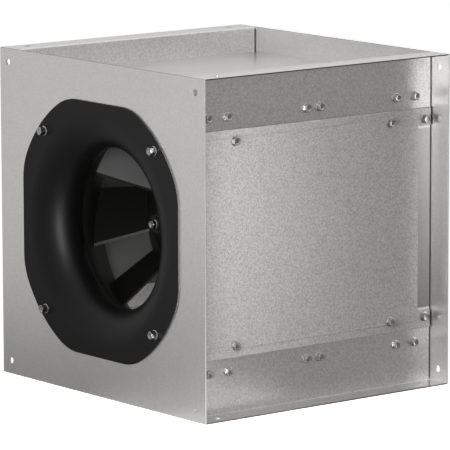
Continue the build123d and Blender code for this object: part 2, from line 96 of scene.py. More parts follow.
# Adds nodes to one tree, left to right, and joins them.
class Graph:
    def __init__(self, tree):
        self.tree = tree
        self.column = 0

    def add(self, kind, **values):
        node = self.tree.nodes.new(kind)
        node.location = (self.column * columnWidth, 0)
        self.column += 1
        for key, value in values.items():
            setattr(node, key, value)
        return node

    def join(self, start, end):
        self.tree.links.new(start, end)

    def feed(self, socket, value):
        if value is None:
            return
        if hasattr(value, "is_output"):
            self.join(value, socket)
        else:
            socket.default_value = value

    def math(self, operation, first, second=None, third=None, clamp=False):
        node = self.add("ShaderNodeMath", operation=operation, use_clamp=clamp)
        for socket, value in zip(node.inputs, (first, second, third)):
            self.feed(socket, value)
        return node.outputs[0]

    def vector(self, operation, first, second=None):
        node = self.add("ShaderNodeVectorMath", operation=operation)
        for socket, value in zip(node.inputs, (first, second)):
            self.feed(socket, value)
        return node

    def split(self, vector):
        node = self.add("ShaderNodeSeparateXYZ")
        self.join(vector, node.inputs[0])
        return node.outputs

    def ramp(self, value, fromLow, fromHigh, toLow=0.0, toHigh=1.0, smooth=False):
        node = self.add("ShaderNodeMapRange")
        node.interpolation_type = "SMOOTHSTEP" if smooth else "LINEAR"
        for socket, entry in zip(node.inputs, (value, fromLow, fromHigh, toLow, toHigh)):
            self.feed(socket, entry)
        return node.outputs[0]

    def mix(self, factor, first, second, blend="MIX"):
        node = self.add("ShaderNodeMix", data_type="RGBA", blend_type=blend)
        self.feed(node.inputs[0], factor)
        self.feed(node.inputs[6], first)
        self.feed(node.inputs[7], second)
        return node.outputs[2]

    def noise(self, place, scale, detail, rough, output=0):
        node = self.add("ShaderNodeTexNoise")
        self.feed(node.inputs["Vector"], place)
        self.feed(node.inputs["Scale"], scale)
        self.feed(node.inputs["Detail"], detail)
        self.feed(node.inputs["Roughness"], rough)
        return node.outputs[output]

    def group(self, tree, **values):
        node = self.add("ShaderNodeGroup")
        node.node_tree = tree
        for key, value in values.items():
            self.feed(node.inputs[key], value)
        return node.outputs


# A node group. inputs gives each input's kind, and every output is a plain number.
def newGroup(name, inputs, outputs):
    tree = bpy.data.node_groups.new(name, "ShaderNodeTree")
    for label, kind in inputs.items():
        tree.interface.new_socket(label, in_out="INPUT", socket_type="NodeSocket" + kind)
    for label in outputs:
        tree.interface.new_socket(label, in_out="OUTPUT", socket_type="NodeSocketFloat")
    graph = Graph(tree)
    return graph, graph.add("NodeGroupInput").outputs, graph.add("NodeGroupOutput").inputs


def emptyMaterial(name):
    material = bpy.data.materials.new(name)
    material.use_nodes = True
    material.node_tree.nodes.clear()
    return material, Graph(material.node_tree)


# surface holds the plain values that go on the shader's own sockets.
def newMaterial(name, surface):
    material, graph = emptyMaterial(name)
    place = graph.add("ShaderNodeTexCoord").outputs["Object"]
    shader = graph.add("ShaderNodeBsdfPrincipled")
    output = graph.add("ShaderNodeOutputMaterial")
    graph.join(shader.outputs[0], output.inputs["Surface"])
    for key, value in surface.items():
        shader.inputs[key].default_value = value
    return material, graph, place, shader.inputs


def addBump(graph, height, distance, strength, shader):
    bump = graph.add("ShaderNodeBump")
    bump.inputs["Distance"].default_value = distance
    bump.inputs["Strength"].default_value = strength
    graph.join(height, bump.inputs["Height"])
    graph.join(bump.outputs[0], shader["Normal"])


def grey(value, warm=0.0):
    return (value * (1 + warm), value, value * (1 - 1.5 * warm), 1.0)


# mesh helpers

xAxis, yAxis, zAxis = np.eye(3)
poleTolerance = 1e-7


def addMesh(name, points, faces):
    mesh = bpy.data.meshes.new(name)
    mesh.from_pydata(points.tolist(), [], faces.tolist())
    made = bpy.data.objects.new(name, mesh)
    scene.collection.objects.link(made)
    return made


# Joins the points that meet at a pole, which leaves triangles there, and turns every face outward.
def closePoles(piece):
    shape = bmesh.new()
    shape.from_mesh(piece.data)
    bmesh.ops.remove_doubles(shape, verts=shape.verts, dist=poleTolerance)
    bmesh.ops.recalc_face_normals(shape, faces=shape.faces)
    shape.to_mesh(piece.data)
    shape.free()


def smoothBelow(piece, degrees):
    piece.data.shade_smooth()
    piece.data.set_sharp_from_angle(angle=math.radians(degrees))


# Quads of a grid of points numbered row by row, with the last column joined to the first.
def gridFaces(rows, columns):
    row, column = np.meshgrid(np.arange(rows - 1), np.arange(columns), indexing="ij")
    here = row * columns + column
    following = row * columns + (column + 1) % columns
    return np.stack([here, following, following + columns, here + columns], -1).reshape(-1, 4)


# Joins grids of any size into one closed piece that rides on a body.
def joinGrids(name, grids, slot, body, sharpAngle):
    points, faces, count = [], [], 0
    for grid in grids:
        rows, columns = grid.shape[:2]
        points.append(grid.reshape(-1, 3))
        faces.append(gridFaces(rows, columns) + count)
        count += rows * columns
    piece = addMesh(name, np.concatenate(points), np.concatenate(faces))
    closePoles(piece)
    smoothBelow(piece, sharpAngle)
    piece.data.materials.append(finishes[slot])
    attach(piece, body)
    return piece


# shared effects

zincGrain = {
    "warpScale": 260.0,
    "warp": 0.004,
    "softness": 0.25,
    "driftScale": 5.0,
    "cellPolish": 0.03,
    "driftPolish": 0.06,
    "cellHeight": 0.7,
    "grainHeight": 1.1,
}


# Spangle cells, each a little lighter or darker, with a fine crystal grain and a slow drift of tone.
def makeZincSkin(values):
    inputs = {"Position": "Vector"}
    for label in ("Cell Scale", "Cell Amount", "Grain Scale", "Grain Amount", "Drift Amount"):
        inputs[label] = "Float"
    graph, given, out = newGroup("zincSkin", inputs, ("Tone", "Polish", "Height"))
    place = given["Position"]
    warp = graph.noise(place, values["warpScale"], detail=2.0, rough=0.5, output="Color")
    shift = graph.vector("SCALE", graph.vector("SUBTRACT", warp, (0.5, 0.5, 0.5)).outputs[0])
    shift.inputs["Scale"].default_value = values["warp"]
    bent = graph.vector("ADD", place, shift.outputs[0]).outputs[0]
    cells = graph.add("ShaderNodeTexVoronoi", feature="SMOOTH_F1")
    graph.feed(cells.inputs["Vector"], bent)
    graph.feed(cells.inputs["Scale"], given["Cell Scale"])
    graph.feed(cells.inputs["Smoothness"], values["softness"])
    shade = graph.add("ShaderNodeSeparateColor")
    graph.join(cells.outputs["Color"], shade.inputs[0])
    cell = graph.math("SUBTRACT", shade.outputs[0], 0.5)
    grain = graph.math("SUBTRACT", graph.noise(place, given["Grain Scale"], detail=3.0, rough=0.6), 0.5)
    drift = graph.math("SUBTRACT", graph.noise(place, values["driftScale"], detail=3.0, rough=0.55), 0.5)
    tone = graph.math("MULTIPLY_ADD", cell, given["Cell Amount"], 1.0)
    tone = graph.math("MULTIPLY_ADD", grain, given["Grain Amount"], tone)
    tone = graph.math("MULTIPLY_ADD", drift, given["Drift Amount"], tone)
    graph.join(tone, out["Tone"])
    polish = graph.math("MULTIPLY", drift, values["driftPolish"])
    graph.join(graph.math("MULTIPLY_ADD", cell, values["cellPolish"], polish), out["Polish"])
    height = graph.math("MULTIPLY", grain, values["grainHeight"])
    graph.join(graph.math("MULTIPLY_ADD", cell, values["cellHeight"], height), out["Height"])
    return graph.tree


# A mask that is 1 on an edge of a sheet, which is the outermost skin of its box; it carries the painted edge
# highlight and shade.
def makeCutEdge():
    inputs = {"Position": "Vector", "Centre": "Vector", "Half Size": "Vector", "Depth": "Float"}
    graph, given, out = newGroup("cutEdge", inputs, ("Mask",))
    away = graph.vector("ABSOLUTE", graph.vector("SUBTRACT", given["Position"], given["Centre"]).outputs[0])
    past = graph.split(graph.vector("SUBTRACT", away.outputs[0], given["Half Size"]).outputs[0])
    furthest = graph.math("MAXIMUM", graph.math("MAXIMUM", past[0], past[1]), past[2])
    inside = graph.math("ADD", furthest, given["Depth"])
    graph.join(graph.math("GREATER_THAN", inside, 0.0), out["Mask"])
    return graph.tree


paintGrain = {
    "peelScale": 420.0,
    "dustScale": 1500.0,
    "specks": (0.62, 0.78),
    "patchScale": 22.0,
    "patches": (0.42, 0.72),
    "rubScale": 14.0,
}


# Orange peel, settled dust and rubbed patches of a sprayed coat.
def makePaintSkin(values):
    graph, given, out = newGroup("paintSkin", {"Position": "Vector"}, ("Height", "Dust", "Rub"))
    place = given["Position"]
    graph.join(graph.noise(place, values["peelScale"], detail=1.5, rough=0.5), out["Height"])
    specks = graph.ramp(graph.noise(place, values["dustScale"], detail=1.0, rough=0.5), *values["specks"])
    patches = graph.ramp(graph.noise(place, values["patchScale"], detail=4.0, rough=0.6), *values["patches"])
    graph.join(graph.math("MULTIPLY", specks, patches), out["Dust"])
    rub = graph.noise(place, values["rubScale"], detail=4.0, rough=0.65)
    graph.join(graph.math("SUBTRACT", rub, 0.5), out["Rub"])
    return graph.tree


zincSkin = makeZincSkin(zincGrain)
cutEdge = makeCutEdge()
paintSkin = makePaintSkin(paintGrain)


# finishes

# Depth in metres of each finish's finest relief.
relief = {
    "sheet": 0.0002, "fastener": 0.0001, "paint": 0.0002,
    "cast": 0.0003, "shaft": 0.00005, "rubber": 0.0001,
}

galvanised = {
    "plates": {
        "tone": 0.66, "warm": 0.013, "metallic": 1.0, "rough": 0.32,
        "cellScale": 600.0, "cells": 0.12, "grainScale": 1000.0, "grain": 0.45, "drift": 0.06, "bump": 0.03,
    },
    "pans": {
        "tone": 0.60, "warm": 0.004, "metallic": 1.0, "rough": 0.30,
        "cellScale": 330.0, "cells": 0.06, "grainScale": 700.0, "grain": 0.12, "drift": 0.08, "bump": 0.04,
    },
    "rails": {
        "lip": 0.2412, "tone": 0.62, "warm": 0.013, "metallic": 1.0, "rough": 0.30,
        "cellScale": 560.0, "cells": 0.28, "grainScale": 1000.0, "grain": 0.80, "drift": 0.06, "bump": 0.02,
    },
    "panels": {
        "inner": 0.2046, "tone": 0.40, "warm": 0.013, "metallic": 0.52, "rough": 0.34,
        "cellScale": 560.0, "cells": 0.42, "grainScale": 1000.0, "grain": 0.75, "drift": 0.10, "bump": 0.05,
    },
    "posts": {
        "foot": 0.52, "tone": 0.42, "warm": 0.004, "metallic": 0.9, "rough": 0.36,
        "cellScale": 330.0, "cells": 0.08, "grainScale": 700.0, "grain": 0.12, "drift": 0.10, "bump": 0.05,
    },
}
# The outlet plate is a lighter copy of the plates' zinc: painted light, for the bright reflections on its
# inner face.
galvanised["outlet"] = {**galvanised["plates"], "tone": 0.74}

# The heights between which the panels' inner film of dust and painted shade and the posts' painted shade
# fade, and the inner film's colour at both.
innerDustAndShade = {"from": 0.14, "to": 0.34, "low": (0.150, 0.150, 0.135, 1.0), "high": (0.030, 0.040, 0.037, 1.0)}
postFootShade = {"from": 0.11, "to": 0.37}

# Painted highlight on a sheet's upright edges, and painted shade, a dark line, on its level ones and on the
# rails' outward flange. beyond is a half size that no edge of the object reaches.
edgeHighlightAndShade = {"paintedHighlightEdge": grey(0.86), "paintedShadeEdge": grey(0.10, 0.02), "rough": 0.12, "depth": 0.0001, "beyond": 9.0}


def addZincSkin(graph, place, values):
    return graph.group(
        zincSkin,
        **{
            "Position": place,
            "Cell Scale": values["cellScale"],
            "Cell Amount": values["cells"],
            "Grain Scale": values["grainScale"],
            "Grain Amount": values["grain"],
            "Drift Amount": values["drift"],
        },
    )


# plate is a node whose edges get painted light: a painted highlight on the upright ones and painted shade, a
# dark line, on the level ones.
def galvanisedSheet(name, values, plate=None):
    material, graph, place, shader = newMaterial(name, {"Metallic": values["metallic"]})
    skin = addZincSkin(graph, place, values)
    colour = graph.mix(1.0, grey(values["tone"], values["warm"]), skin["Tone"], "MULTIPLY")
    across = graph.split(graph.vector("ABSOLUTE", place).outputs[0])
    if "inner" in values:  # the face inside the casing is darker: partly a dull film of dust and oil, partly painted shade, darker still towards the top
        inside = graph.math("LESS_THAN", across[0], values["inner"])
        fade = graph.ramp(across[2], innerDustAndShade["from"], innerDustAndShade["to"])
        colour = graph.mix(inside, colour, graph.mix(fade, innerDustAndShade["low"], innerDustAndShade["high"]))
    if "foot" in values:  # darker towards the foot: painted shade
        fade = graph.ramp(across[2], postFootShade["from"], postFootShade["to"], values["foot"], 1.0)
        colour = graph.mix(1.0, colour, fade, "MULTIPLY")
    if "lip" in values:  # the edge of the outward flange gets painted shade, a dark line
        paintedShadeEdge = graph.math("GREATER_THAN", across[0], values["lip"])
        colour = graph.mix(paintedShadeEdge, colour, edgeHighlightAndShade["paintedShadeEdge"])
    rough = graph.math("ADD", skin["Polish"], values["rough"])
    if plate:
        low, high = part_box(plate)
        centre, half = (low + high) / 2, (high - low) / 2
        upright = (half.x, edgeHighlightAndShade["beyond"], edgeHighlightAndShade["beyond"])
        level = (edgeHighlightAndShade["beyond"], edgeHighlightAndShade["beyond"], half.z)
        # painted highlight on the upright edges, painted shade on the level ones
        for size, metal in ((upright, edgeHighlightAndShade["paintedHighlightEdge"]), (level, edgeHighlightAndShade["paintedShadeEdge"])):
            box = {"Position": place, "Centre": tuple(centre), "Half Size": size, "Depth": edgeHighlightAndShade["depth"]}
            edge = graph.group(cutEdge, **box)["Mask"]
            colour = graph.mix(edge, colour, metal)
            rough = graph.math("MULTIPLY_ADD", edge, edgeHighlightAndShade["rough"], rough)
    graph.join(colour, shader["Base Color"])
    graph.join(rough, shader["Roughness"])
    addBump(graph, skin["Height"], relief["sheet"], values["bump"], shader)
    return material


fastenerZinc = {
    "tone": 0.33, "warm": -0.004, "rough": 0.14,
    "cellScale": 1200.0, "cells": 0.10, "grainScale": 1800.0, "grain": 0.12, "drift": 0.2, "bump": 0.02,
}


def zincFastener(name, values):
    material, graph, place, shader = newMaterial(name, {"Metallic": 1.0})
    skin = addZincSkin(graph, place, values)
    colour = graph.mix(1.0, grey(values["tone"], values["warm"]), skin["Tone"], "MULTIPLY")
    graph.join(colour, shader["Base Color"])
    graph.join(graph.math("ADD", skin["Polish"], values["rough"]), shader["Roughness"])
    addBump(graph, skin["Height"], relief["fastener"], values["bump"], shader)
    return material


paints = {
    "bell": {
        "tone": (0.0018, 0.0019, 0.0018, 1.0), "dusty": (0.008, 0.0085, 0.0075, 1.0),
        "rough": 0.42, "rub": 0.08, "gloss": 0.16, "bump": 0.03,
        # edge is the grey of a painted highlight on the front flange's rim.
        "edge": 0.055, "edgeFrom": 0.172, "faceDepth": 0.0002,
    },
    "wheel": {
        "tone": (0.0042, 0.0046, 0.0038, 1.0), "dusty": (0.014, 0.015, 0.012, 1.0),
        "rough": 0.42, "rub": 0.10, "gloss": 0.20, "bump": 0.12,
    },
    "motor": {
        "tone": (0.018, 0.019, 0.021, 1.0), "dusty": (0.06, 0.06, 0.055, 1.0),
        "rough": 0.52, "rub": 0.16, "gloss": 0.40, "bump": 0.25,
    },
}


# flanged is a node whose front flange gets a painted highlight, a paler grey, on its rim.
def sprayedPaint(name, values, flanged=None):
    material, graph, place, shader = newMaterial(name, {"Specular IOR Level": values["gloss"]})
    skin = graph.group(paintSkin, Position=place)
    colour = graph.mix(skin["Dust"], values["tone"], values["dusty"])
    if flanged:  # the painted highlight lies on the edge, behind the front face and outside the mouth
        low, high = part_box(flanged)
        away = graph.vector("SUBTRACT", place, tuple((low + high) / 2)).outputs[0]
        flat = graph.vector("MULTIPLY", away, (1.0, 0.0, 1.0)).outputs[0]
        radial = graph.vector("LENGTH", flat).outputs["Value"]
        behind = graph.math("GREATER_THAN", graph.split(place)[1], low.y + values["faceDepth"])
        edge = graph.math("MULTIPLY", behind, graph.math("GREATER_THAN", radial, values["edgeFrom"]))
        colour = graph.mix(edge, colour, grey(values["edge"]))
    graph.join(colour, shader["Base Color"])
    graph.join(graph.math("MULTIPLY_ADD", skin["Rub"], values["rub"], values["rough"]), shader["Roughness"])
    addBump(graph, skin["Height"], relief["paint"], values["bump"], shader)
    return material


castings = {
    "bushing": {"tone": 0.20, "metallic": 0.85, "rough": 0.52, "scale": 650.0, "bump": 0.35},
    "motorBells": {"tone": 0.42, "metallic": 0.90, "rough": 0.44, "scale": 900.0, "bump": 0.30},
}
castSkin = {"stainScale": 40.0, "base": 0.7, "sand": 0.3, "stain": 0.3, "stainRough": 0.2, "warm": 0.01}


def castMetal(name, values):
    material, graph, place, shader = newMaterial(name, {"Metallic": values["metallic"]})
    sand = graph.noise(place, values["scale"], detail=4.0, rough=0.65)
    stain = graph.noise(place, castSkin["stainScale"], detail=4.0, rough=0.6)
    tone = graph.math("MULTIPLY_ADD", stain, castSkin["stain"], castSkin["base"])
    tone = graph.math("MULTIPLY_ADD", sand, castSkin["sand"], tone)
    colour = graph.mix(1.0, grey(values["tone"], castSkin["warm"]), tone, "MULTIPLY")
    graph.join(colour, shader["Base Color"])
    spread = castSkin["stainRough"]
    graph.join(graph.math("MULTIPLY_ADD", stain, spread, values["rough"] - spread / 2), shader["Roughness"])
    addBump(graph, sand, relief["cast"], values["bump"], shader)
    return material


shaftSteel = {
    "scale": 4200.0, "dark": 0.46, "light": 0.62, "warm": 0.01,
    "rough": 0.16, "ringRough": 0.14, "bump": 0.2,
}


# Bright ground steel: fine rings round the duct axis, so the pattern runs along Y only.
def groundShaft(name, values):
    material, graph, place, shader = newMaterial(name, {"Metallic": 1.0})
    line = graph.add("ShaderNodeCombineXYZ")
    graph.join(graph.split(place)[1], line.inputs[1])
    rings = graph.noise(line.outputs[0], values["scale"], detail=3.0, rough=0.7)
    dark, light = grey(values["dark"], values["warm"]), grey(values["light"], values["warm"])
    graph.join(graph.mix(rings, dark, light), shader["Base Color"])
    graph.join(graph.math("MULTIPLY_ADD", rings, values["ringRough"], values["rough"]), shader["Roughness"])
    addBump(graph, rings, relief["shaft"], values["bump"], shader)
    return material


rubber = {
    "bloomScale": 60.0, "bloom": (0.4, 0.8), "grainScale": 1400.0,
    "fresh": grey(0.014), "bloomed": grey(0.036, 0.01),
    "rough": 0.55, "bloomRough": 0.25, "bump": 0.25,
}


def mouldedRubber(name, values):
    material, graph, place, shader = newMaterial(name, {})
    bloom = graph.noise(place, values["bloomScale"], detail=5.0, rough=0.65)
    grain = graph.noise(place, values["grainScale"], detail=2.0, rough=0.6)
    colour = graph.mix(graph.ramp(bloom, *values["bloom"]), values["fresh"], values["bloomed"])
    graph.join(colour, shader["Base Color"])
    graph.join(graph.math("MULTIPLY_ADD", bloom, values["bloomRough"], values["rough"]), shader["Roughness"])
    addBump(graph, grain, relief["rubber"], values["bump"], shader)
    return material


finishes = {
    "galvanised_sheet": galvanisedSheet("panZinc", galvanised["pans"]),
    "galvanised_rails": galvanisedSheet("railZinc", galvanised["rails"]),
    "galvanised_panels": galvanisedSheet("panelZinc", galvanised["panels"]),
    "zinc_fasteners": zincFastener("screwZinc", fastenerZinc),
    "black_paint": sprayedPaint("bellPaint", paints["bell"], "inlet_bell"),
    "dark_wheel_paint": sprayedPaint("wheelPaint", paints["wheel"]),
    "cast_bushing": castMetal("bushingIron", castings["bushing"]),
    "ground_shaft": groundShaft("shaftSteel", shaftSteel),
    "motor_paint": sprayedPaint("motorPaint", paints["motor"]),
    "motor_bells": castMetal("bellAluminium", castings["motorBells"]),
    "rubber": mouldedRubber("mouldedRubber", rubber),
}
ownFinishes = {
    "inlet_plate": galvanisedSheet("inletPlateZinc", galvanised["plates"], "inlet_plate"),
    "outlet_frame": galvanisedSheet("outletPlateZinc", galvanised["outlet"], "outlet_frame"),
}
postZinc = galvanisedSheet("postZinc", galvanised["posts"])
ownFinishes.update({name: postZinc for name in nodes if name.startswith("post_")})
for name, node in nodes.items():
    for index, old in enumerate(node.data.materials):
        node.data.materials[index] = ownFinishes.get(name) or finishes[old.name.split(".")[0]]
print("painted", len(nodes), "nodes")


# screws and nuts

# cornerRows are the depths below the top at which rows follow the cut corners. dishProfile gives the share of
# the dish's depth and of the crown's radius in each row of the hollow top.
screw = {
    "washerRadius": 0.0069,
    "washerRim": 0.0009,
    "washerRise": 0.0014,
    "washerBevel": 0.0003,
    "washerStep": 0.0002,
    "acrossFlats": 0.0105,
    "crown": 0.95,
    "footRow": 0.0006,
    "cornerRows": (0.0016, 0.0012, 0.0009, 0.0006, 0.0003, 0.0),
    "dish": 0.0008,
    "dishProfile": ((0.0, 0.90), (0.25, 0.80), (0.60, 0.68), (0.85, 0.52), (0.97, 0.32), (1.0, 0.0)),
    "shankRadius": 0.0030,
    "tip": 0.62,
    "thread": 0.00042,
    "threadEnd": 0.0004,
    "pitch": 0.00125,
    "rowsPerPitch": 4,
    "columns": 36,
}
nut = {
    "acrossFlats": 0.0100,
    "crown": 0.95,
    "cornerRows": (0.0003, 0.0006, 0.0010),
    "boreRadius": 0.0029,
    "chamfer": 0.0004,
    "thread": 0.0002,
    "pitch": 0.00125,
    "rowsInBore": 12,
    "columns": 36,
}
# height is from the seat to the top. A set without a shank is one of nuts.
fastenerSets = {
    "rail_screws": {"axis": 0, "ways": (1, -1), "height": 0.0072, "shank": 0.012, "body": "casing"},
    "panel_screws": {"axis": 0, "ways": (1, -1), "height": 0.0072, "shank": 0.012, "body": "casing"},
    "bell_bolts": {"axis": 1, "ways": (-1,), "height": 0.0100, "shank": 0.012, "body": "casing"},
    "isolator_bolts": {"axis": 1, "ways": (1,), "height": 0.0072, "shank": 0.018, "body": "casing"},
    "plate_bolts": {"axis": 2, "ways": (1, -1), "height": 0.0072, "shank": 0.010, "body": "casing"},
    "retaining_bolt": {"axis": 1, "ways": (-1,), "height": 0.0072, "shank": 0.024, "body": "wheel"},
    "bell_nuts": {"axis": 1, "ways": (1,), "height": 0.0050, "body": "casing"},
    "isolator_nuts": {"axis": 1, "ways": (1,), "height": 0.0050, "body": "casing"},
}
# The corners of one head lie closer together than headReach.
headReach = 0.016
planeTolerance = 1e-5
coneSlope = math.tan(math.radians(60))


# Middle of each hexagon face of a node of screws, found from the points of its outermost plane.
def headCentres(node, axis, way):
    points = np.unique(np.round([v.co for v in nodes[node].data.vertices], 6), axis=0)
    reach = points[:, axis] * way
    top = points[reach > reach.max() - planeTolerance]
    middles = []
    while len(top):
        near = np.linalg.norm(top - top[0], axis=1) < headReach
        middles.append((top[near].min(0) + top[near].max(0)) / 2)
        top = top[~near]
    return np.array(middles)


# Rows that turn a fastener drawn along +Z to point one way along an axis of the frame.
def facing(axis, way):
    outward = np.eye(3)[axis] * way
    across = np.eye(3)[(axis + 1) % 3]
    return np.stack([across, np.cross(outward, across), outward])


# Radius of a hexagon at each angle t: half the flats over the cosine of the angle to the nearest flat.
def hexagonAt(t, acrossFlats):
    nearest = (t + np.pi / 6) % (np.pi / 3) - np.pi / 6
    return acrossFlats / 2 / np.cos(nearest)


# Depth of the thread at height z and angle t, from 0 to 1: |triangle(z / pitch - t / 2 pi)|, a helix.
def threadAt(z, t, pitch):
    return np.abs(((z / pitch - t / (2 * np.pi)) % 1.0) * 2 - 1)


# A surface round Z from rows of height and radius: P(row, t) = (radius cos t, radius sin t, height).
def roundGrid(rows, t, turn):
    radius = np.array([row[1] for row in rows])
    height = np.repeat(np.array([row[0] for row in rows])[:, None], len(t), axis=1)
    return np.stack([radius * np.cos(t + turn), radius * np.sin(t + turn), height], -1)


# One screw along +Z from its seat at 0. Rows climb from the tip to the middle of the head, and columns go
# round. Shank: the radius less the thread's depth. Head: the smaller of the hexagon and a 30 degree cone that
# cuts its corners, and then the profile of its hollow top.
def screwGrid(values, head, shank, turn):
    t = np.linspace(0.0, 2 * np.pi, values["columns"], endpoint=False)
    hexagon = hexagonAt(t, values["acrossFlats"])
    r, pitch = values["shankRadius"], values["pitch"]
    z = np.arange(-shank + pitch, -values["threadEnd"], pitch / values["rowsPerPitch"])[:, None]
    rows = [(-shank, 0.0 * t), (-shank, values["tip"] * r + 0 * t)]
    rows += [(height[0], r - values["thread"] * ring) for height, ring in zip(z, threadAt(z, t, pitch))]
    rows.append((0.0, r + 0 * t))
    wide, rim, bevel = values["washerRadius"], values["washerRim"], values["washerBevel"]
    washer = ((0.0, wide - bevel), (bevel, wide), (rim, wide), (rim + values["washerStep"], wide - bevel))
    rows += [(height, radius + 0 * t) for height, radius in washer]
    rise = values["washerRise"]
    rows.append((rise, hexagon + values["washerStep"]))
    crown = values["acrossFlats"] / 2 * values["crown"]
    for down in (head - rise - values["footRow"], *values["cornerRows"]):
        rows.append((head - down, np.minimum(hexagon, crown + down * coneSlope)))
    for share, part in values["dishProfile"]:
        rows.append((head - share * values["dish"], part * crown + 0 * t))
    return roundGrid(rows, t, turn)


# One nut on its seat at 0: a closed section carried round the screw. Outside, the radius is the smaller of
# the hexagon and a 30 degree cone at both faces. Inside, it is the bore plus the thread's depth.
def nutGrid(values, thick, turn):
    t = np.linspace(0.0, 2 * np.pi, values["columns"], endpoint=False)
    hexagon = hexagonAt(t, values["acrossFlats"])
    crown = values["acrossFlats"] / 2 * values["crown"]
    bore, cut = values["boreRadius"], values["chamfer"]
    rows = [(0.0, bore + cut + 0 * t), (0.0, crown + 0 * t)]
    for down in values["cornerRows"]:
        rows.append((down, np.minimum(hexagon, crown + down * coneSlope)))
    for down in (*reversed(values["cornerRows"]), 0.0):
        rows.append((thick - down, np.minimum(hexagon, crown + down * coneSlope)))
    rows.append((thick, bore + cut + 0 * t))
    for z in np.linspace(thick - cut, cut, values["rowsInBore"]):
        rows.append((z, bore + values["thread"] * threadAt(z, t, values["pitch"])))
    rows.append(rows[0])
    return roundGrid(rows, t, turn)


# One fastener at each hexagon of its node, each turned by its own random angle.
def makeFasteners(name, values, random):
    grids = []
    height = values["height"]
    for way in values["ways"]:
        turned = facing(values["axis"], way)
        for middle in headCentres(name, values["axis"], way):
            turn = random.uniform(0, np.pi / 3)
            if "shank" in values:
                grid = screwGrid(screw, height, values["shank"], turn)
            else:
                grid = nutGrid(nut, height, turn)
            grids.append(grid @ turned + middle - turned[2] * height)
    piece = joinGrids(name + "_detail", grids, "zinc_fasteners", values["body"], sharpAngle=28)
    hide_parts(name)
    return len(grids)


seeded = np.random.default_rng(7)
fastenerCount = sum(makeFasteners(name, values, seeded) for name, values in fastenerSets.items())
print("cut", fastenerCount, "screws and nuts")


# seams and hems of the casing

seams = {
    "sealantRadius": 0.0007,
    "sealantEnd": 0.004,
    "sealantSteps": 60,
    "wander": 0.10,
    "wanderStep": 1.7,
    "wanderAlong": 9.0,
    "hemRadius": 0.0012,
    "hemEnd": 0.0006,
    "creaseHeight": 0.00035,
    "creaseHalfWidth": 0.0011,
    "creaseFromEdge": 0.0120,
    "creaseEnd": 0.0420,
    "creaseSunk": 0.00002,
    "around": 14,
}


# A closed round bead along a path, drawn in to a point at both ends:
# P(i, t) = path(i) + scale(i) (wide cos t + tall sin t).
def carriedBead(path, wide, tall, scale, around):
    t = np.linspace(0.0, 2 * np.pi, around, endpoint=False)
    ring = np.cos(t)[:, None] * wide + np.sin(t)[:, None] * tall
    path = np.concatenate([path[:1], path, path[-1:]])
    scale = np.concatenate([[0.0], scale, [0.0]])
    return path[:, None, :] + scale[:, None, None] * ring


# Sealant runs up each post's face where it meets a plate. Its radius wanders with the step i and the place y:
# r (1 - wander (1 + sin(step i + side + along y)) / 2).
def makeSealant(values, face):
    outlet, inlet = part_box("outlet_frame"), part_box("inlet_plate")
    r = values["sealantRadius"]
    steps = np.arange(values["sealantSteps"])
    beads = []
    for side in (1, -1):
        for y in (outlet[0].y - r, inlet[1].y + r):
            foot = (side * face, y, values["sealantEnd"])
            top = (side * face, y, outlet[1].z - values["sealantEnd"])
            wave = np.sin(steps * values["wanderStep"] + side + values["wanderAlong"] * y)
            size = r * (1 - values["wander"] * (0.5 + 0.5 * wave))
            path = np.linspace(foot, top, len(steps))
            beads.append(carriedBead(path, xAxis, yAxis, size, values["around"]))
    joinGrids("seam_sealant", beads, "rubber", "casing", sharpAngle=50)


# Hems are round folds along the top and bottom of each panel, and creases are low oval swellings near them.
def makeFolds(values, face):
    low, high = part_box("access_panel_right")
    middle = (high.x + face) / 2
    start = low.y + values["hemEnd"]
    wide, tall = values["creaseHeight"] * xAxis, values["creaseHalfWidth"] * zAxis
    folds = []
    for side in (1, -1):
        for z in (low.z, high.z):
            path = np.linspace((side * middle, start, z), (side * middle, high.y - values["hemEnd"], z), 3)
            folds.append(carriedBead(path, xAxis, zAxis, np.full(3, values["hemRadius"]), values["around"]))
        for z in (low.z + values["creaseFromEdge"], high.z - values["creaseFromEdge"]):
            outer = side * (high.x - values["creaseSunk"])
            path = np.linspace((outer, start, z), (outer, high.y - values["creaseEnd"], z), 3)
            folds.append(carriedBead(path, wide, tall, np.ones(3), values["around"]))
    joinGrids("panel_hems", folds, "galvanised_panels", "casing", sharpAngle=50)


postFace = max(v.co.x for v in nodes["post_back_right"].data.vertices)
makeSealant(seams, postFace)
makeFolds(seams, postFace)
print("laid the seams and hems")


# motor castings

# finRows, bossEnd and the first number of ribTop and ribFoot are places along the duct axis. Their second
# number is a distance from it.
motor = {
    "fins": 32,
    "finRows": ((-0.0360, 0.0090), (0.0215, 0.0820)),
    "finHeight": 0.0026,
    "finThickness": 0.0008,
    "finSteps": 24,
    "finFade": 0.35,
    "ribs": 24,
    "ribTop": (0.1019, 0.0475),
    "ribFoot": (0.0928, 0.0632),
    "ribHeight": 0.0014,
    "ribThickness": 0.0009,
    "ribSteps": 14,
    "ribStart": 0.15,
    "ribFade": 0.5,
    "ribAround": 12,
    "bossEvery": 6,
    "firstBoss": 3,
    "bossCircle": 0.0575,
    "bossRadius": 0.0056,
    "bossSunk": 0.003,
    "bossEnd": 0.0990,
    "bossEdge": 0.92,
    "bossSteps": 12,
    "bossAround": 28,
    "boltHead": (0.0062, 0.0060),
    "boltTurn": 0.35,
    "capRadius": 0.0210,
    "capRise": 0.0052,
    "capSunk": 0.0004,
    "capAround": 48,
    "capProfile": (
        (1.0, 0.0), (1.0, 0.62), (0.97, 0.82), (0.90, 0.95), (0.80, 1.0), (0.45, 1.0), (0.38, 0.82),
    ),
}


